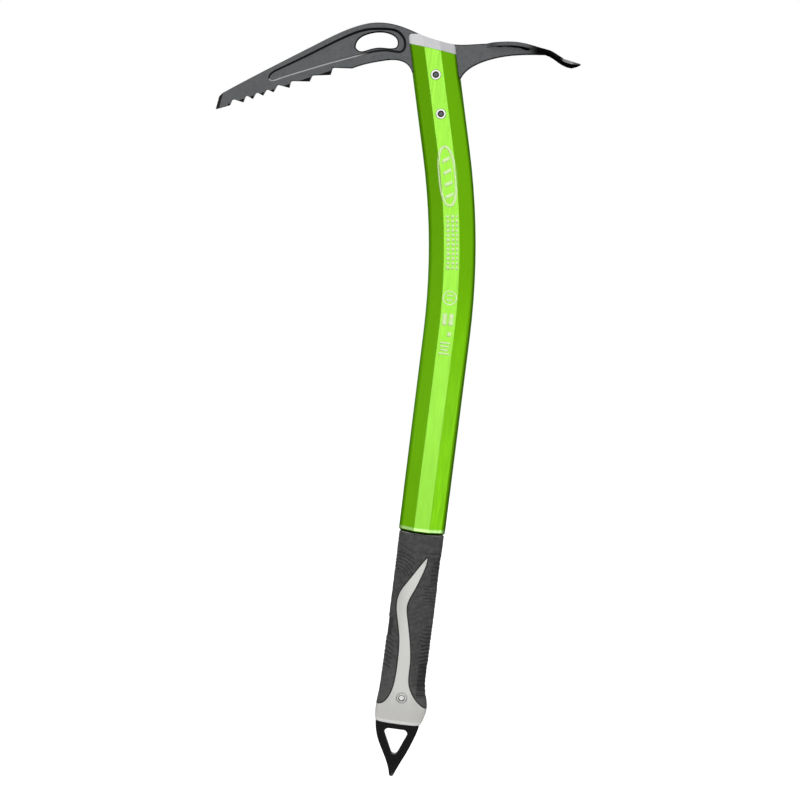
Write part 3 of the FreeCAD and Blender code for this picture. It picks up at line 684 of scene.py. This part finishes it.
def lay_on_shaft(name, grids):
    """Lays grids of (along, across) points on the front of the shaft as one thin printed piece."""
    shaft = tree_of(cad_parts["shaft_tube"])
    corners, faces = [], []
    for grid in grids:
        start = len(corners)
        for line in grid:
            for along, across in line:
                x, z = on_shaft(along, across)
                hit = shaft.ray_cast(Vector((x, RAY_START, z)), Vector((0, 1, 0)))[0]
                corners.append((x, hit.y - MARK_THICKNESS, z))
        width = len(grid[0])
        for row in range(len(grid) - 1):
            for column in range(width - 1):
                first = start + row * width + column
                faces.append((first, first + 1, first + 1 + width, first + width))
    piece = new_piece(name, corners, faces)
    thicken(piece, MARK_THICKNESS * 0.9)
    paint(piece, pale_print())


def bar_grid(along, across, length, width, lean=0.0):
    """A bar centred on a place of the shaft, its ends leaning if asked."""
    rows = max(2, int(length / MARK_STEP) + 1)
    columns = max(2, int(width / MARK_STEP) + 1)
    sides = [(column / (columns - 1) - 0.5) * width for column in range(columns)]
    grid = []
    for row in range(rows):
        up = (row / (rows - 1) - 0.5) * length
        grid.append([(along + up + lean * side, across + side) for side in sides])
    return grid


def ring_grid(along, across, length, width, band, squareness=2.0):
    """A closed oval band around a place of the shaft: an ellipse at squareness 2, squarer above it."""
    steps = 72
    grid = []
    for step in range(steps + 1):
        angle = 2 * math.pi * step / steps
        up = math.copysign(abs(math.cos(angle)) ** (2 / squareness), math.cos(angle))
        side = math.copysign(abs(math.sin(angle)) ** (2 / squareness), math.sin(angle))
        line = []
        for share in (0, 0.5, 1):
            trim = band * share
            line.append((along + up * (length / 2 - trim), across + side * (width / 2 - trim)))
        grid.append(line)
    return grid


def oval_with_bars():
    """A long oval with four leaning bars."""
    grids = [ring_grid(411 * MM, -0.6 * MM, 41 * MM, 12.6 * MM, 1.9 * MM, 2.4)]
    first, pitch = 398 * MM, 8 * MM
    for bar in range(4):
        grids.append(bar_grid(first + bar * pitch, -0.4 * MM, 2.6 * MM, 5.4 * MM, lean=0.35))
    return grids


def dash_columns():
    """Three columns of dashes of mixed lengths, narrower towards the adze."""
    first, pitch, rows = 350 * MM, 3.1 * MM, 12
    columns = ((-2.4 * MM, 2.3 * MM), (0.9 * MM, 1.9 * MM), (3.6 * MM, 1.5 * MM))
    lengths = (2.3 * MM, 1.7 * MM, 2.0 * MM)
    grids = []
    for row in range(rows):
        for column, (across, width) in enumerate(columns):
            length = lengths[(row + column) % len(lengths)]
            grids.append(bar_grid(first + row * pitch, across, length, width))
    return grids


def ring_with_bars():
    """A ring with two level bars in it."""
    middle, offset = 330 * MM, 1.6 * MM
    grids = [ring_grid(middle, 0, 10 * MM, 9.8 * MM, 1.0 * MM)]
    for along in (middle + offset, middle - offset):
        grids.append(bar_grid(along, 0, 1.2 * MM, 4.6 * MM))
    return grids


def block_stack():
    """Two upright blocks, a small one below them, then four level bars."""
    grids = [bar_grid(315.5 * MM, across, 8 * MM, 3.0 * MM) for across in (-2.2 * MM, 2.2 * MM)]
    grids.append(bar_grid(305.8 * MM, 2.0 * MM, 3 * MM, 2.6 * MM))
    first, pitch = 292.5 * MM, 2.4 * MM
    for row, width in enumerate((7.4 * MM, 5.2 * MM, 6.6 * MM, 7.0 * MM)):
        grids.append(bar_grid(first + row * pitch, 0, 1.2 * MM, width))
    return grids


def shaft_marks():
    """Plain stand-ins for the print."""
    lay_on_shaft("mark_oval", oval_with_bars())
    lay_on_shaft("mark_dashes", dash_columns())
    lay_on_shaft("mark_ring", ring_with_bars())
    lay_on_shaft("mark_blocks", block_stack())


# ---------------------------------------------------------------- finishes on the CAD nodes

def paint_nodes():
    """Every CAD node gets a finish but grip_rubber, which rubber_grip replaces."""
    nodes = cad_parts
    paint(nodes["head"], forged_steel())
    paint(nodes["shaft_tube"], anodised_green())
    paint(nodes["grip_core"], silver_moulding())
    paint(nodes["spike"], black_steel())
    satin, rivet = satin_aluminium(), rivet_steel()
    for name in ("head_cheek_front", "head_cheek_back", "spike_cheek_front", "spike_cheek_back"):
        paint(nodes[name], satin)
    for name in ("head_rivet_upper", "head_rivet_lower", "spike_rivet"):
        paint(nodes[name], rivet)
    stem = stem_steel("stem_steel", 0.04, 0.20)
    for name in ("head_rivet_stem_upper", "head_rivet_stem_lower"):
        paint(nodes[name], stem)
    # The spike's stem is the same rough steel, painted near white as a painted highlight.
    paint(nodes["spike_rivet_stem"], stem_steel("painted_highlight_stem_steel", 0.7, 0.95))


# ---------------------------------------------------------------- stage, light, camera

def pale_floor():
    """A floor that reads as clean white, and throws only a little light back up at the axe."""
    finish = Finish("pale_floor")
    seen = finish.tree.nodes.new("ShaderNodeLightPath").outputs["Is Camera Ray"]
    cloud = finish.noise(0.4, 2)
    near = finish.mix(cloud, (0.88, 0.88, 0.88), (0.92, 0.92, 0.92))
    finish.set(Base_Color=finish.mix(seen, (0.22, 0.22, 0.22), near), Roughness=0.8)
    finish.set(Emission_Color=(1.0, 1.0, 1.0), Emission_Strength=finish.all_of(seen, 0.5))
    finish.set(Specular_IOR_Level=0.0)
    size = 6.0
    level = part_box("spike")[0].z - FLOOR_DROP
    corners = [(-size, -size, level), (size, -size, level), (size, size, level), (-size, size, level)]
    mesh = bpy.data.meshes.new("floor")
    mesh.from_pydata(corners, [], [(0, 1, 2, 3)])
    floor = bpy.data.objects.new("floor", mesh)
    bpy.context.scene.collection.objects.link(floor)
    paint(floor, finish.material)


def soft_light(name, place, target, width, height, power):
    """A rectangular panel aimed at a target, unseen by the camera."""
    light = bpy.data.lights.new(name, "AREA")
    light.shape = "RECTANGLE"
    light.size, light.size_y = width, height
    light.energy = power
    lamp = bpy.data.objects.new(name, light)
    lamp.location = place
    lamp.rotation_mode = "QUATERNION"
    lamp.rotation_quaternion = (Vector(target) - Vector(place)).to_track_quat("-Z", "Y")
    bpy.context.scene.collection.objects.link(lamp)
    lamp.visible_camera = False


def backdrop():
    """White behind the axe; for its reflections, brightest ahead and above, dim behind."""
    world = bpy.data.worlds.new("studio")
    world.use_nodes = True
    tree = world.node_tree
    tree.nodes.clear()

    def node(kind, **settings):
        made = tree.nodes.new(kind)
        for name, value in settings.items():
            setattr(made, name, value)
        return made

    direction = node("ShaderNodeTexCoord").outputs["Generated"]
    parts = node("ShaderNodeSeparateXYZ")
    tree.links.new(direction, parts.inputs[0])

    def ramp(socket, low, high, start, end):
        made = node("ShaderNodeMapRange", interpolation_type="SMOOTHSTEP")
        for name, value in (("From Min", low), ("From Max", high), ("To Min", start), ("To Max", end)):
            made.inputs[name].default_value = value
        tree.links.new(socket, made.inputs["Value"])
        return made.outputs[0]

    ahead = ramp(parts.outputs["Y"], -1.0, -0.4, SKY_FRONT, SKY_SIDE)
    aback = ramp(parts.outputs["Y"], 0.0, 0.7, 1.0, SKY_BEHIND / SKY_SIDE)
    height = ramp(parts.outputs["Z"], -0.4, 0.6, SKY_LOW, SKY_HIGH)
    to_right = ramp(parts.outputs["X"], 0.4, 0.75, 1.0, SHADE_RIGHT)
    to_back = ramp(parts.outputs["Y"], 0.0, 0.3, 0.0, 1.0)
    shaded = node("ShaderNodeMix", data_type="FLOAT")
    shaded.inputs["A"].default_value = 1.0
    tree.links.new(to_back, shaded.inputs["Factor"])
    tree.links.new(to_right, shaded.inputs["B"])
    strength = ahead
    for factor in (aback, height, shaded.outputs["Result"]):
        product = node("ShaderNodeMath", operation="MULTIPLY")
        tree.links.new(strength, product.inputs[0])
        tree.links.new(factor, product.inputs[1])
        strength = product.outputs[0]
    around, behind = node("ShaderNodeBackground"), node("ShaderNodeBackground")
    tree.links.new(strength, around.inputs["Strength"])
    behind.inputs["Color"].default_value = (1, 1, 1, 1)
    around.inputs["Color"].default_value = (1, 1, 1, 1)
    choice = node("ShaderNodeMixShader")
    tree.links.new(node("ShaderNodeLightPath").outputs["Is Camera Ray"], choice.inputs[0])
    tree.links.new(around.outputs[0], choice.inputs[1])
    tree.links.new(behind.outputs[0], choice.inputs[2])
    tree.links.new(choice.outputs[0], node("ShaderNodeOutputWorld").inputs["Surface"])
    bpy.context.scene.world = world


def studio():
    """White surroundings, a large panel ahead and one behind, and a smaller one low on each side."""
    backdrop()
    bpy.context.scene.view_settings.view_transform = "Standard"
    middle = (0, 0, 0.3)
    soft_light("front_panel", (0.0, -2.0, 0.25), middle, 0.9, 1.3, 8)
    soft_light("low_side_panel", (1.45, -0.67, -0.06), (0, 0, 0.22), 0.4, 0.45, 1.7)
    soft_light("left_panel", (-1.4, -0.60, -0.20), (-0.03, 0, 0.38), 0.8, 0.8, 1.2)
    soft_light("back_panel", (0.0, 2.0, 0.60), middle, 1.0, 1.0, 6)


def camera():
    """The photo's view: a distant camera, turned about its own line of sight."""
    back = Vector((math.sin(VIEW_AZIMUTH) * math.cos(VIEW_ELEVATION),
                   -math.cos(VIEW_AZIMUTH) * math.cos(VIEW_ELEVATION), math.sin(VIEW_ELEVATION)))
    right = Vector((0, 0, 1)).cross(back).normalized()
    up = back.cross(right)
    lean = Matrix.Rotation(VIEW_ROLL, 3, back)
    right, up = lean @ right, lean @ up
    data = bpy.data.cameras.new("camera")
    data.sensor_width, data.lens = SENSOR_WIDTH, FOCAL_LENGTH
    data.clip_start, data.clip_end = 0.05, 50
    eye = bpy.data.objects.new("camera", data)
    turn = Matrix((right, up, back)).transposed()
    eye.matrix_world = Matrix.Translation(VIEW_TARGET + back * VIEW_DISTANCE) @ turn.to_4x4()
    bpy.context.scene.collection.objects.link(eye)
    bpy.context.scene.camera = eye


paint_nodes()
rubber_grip()
shaft_marks()
pale_floor()
studio()
camera()
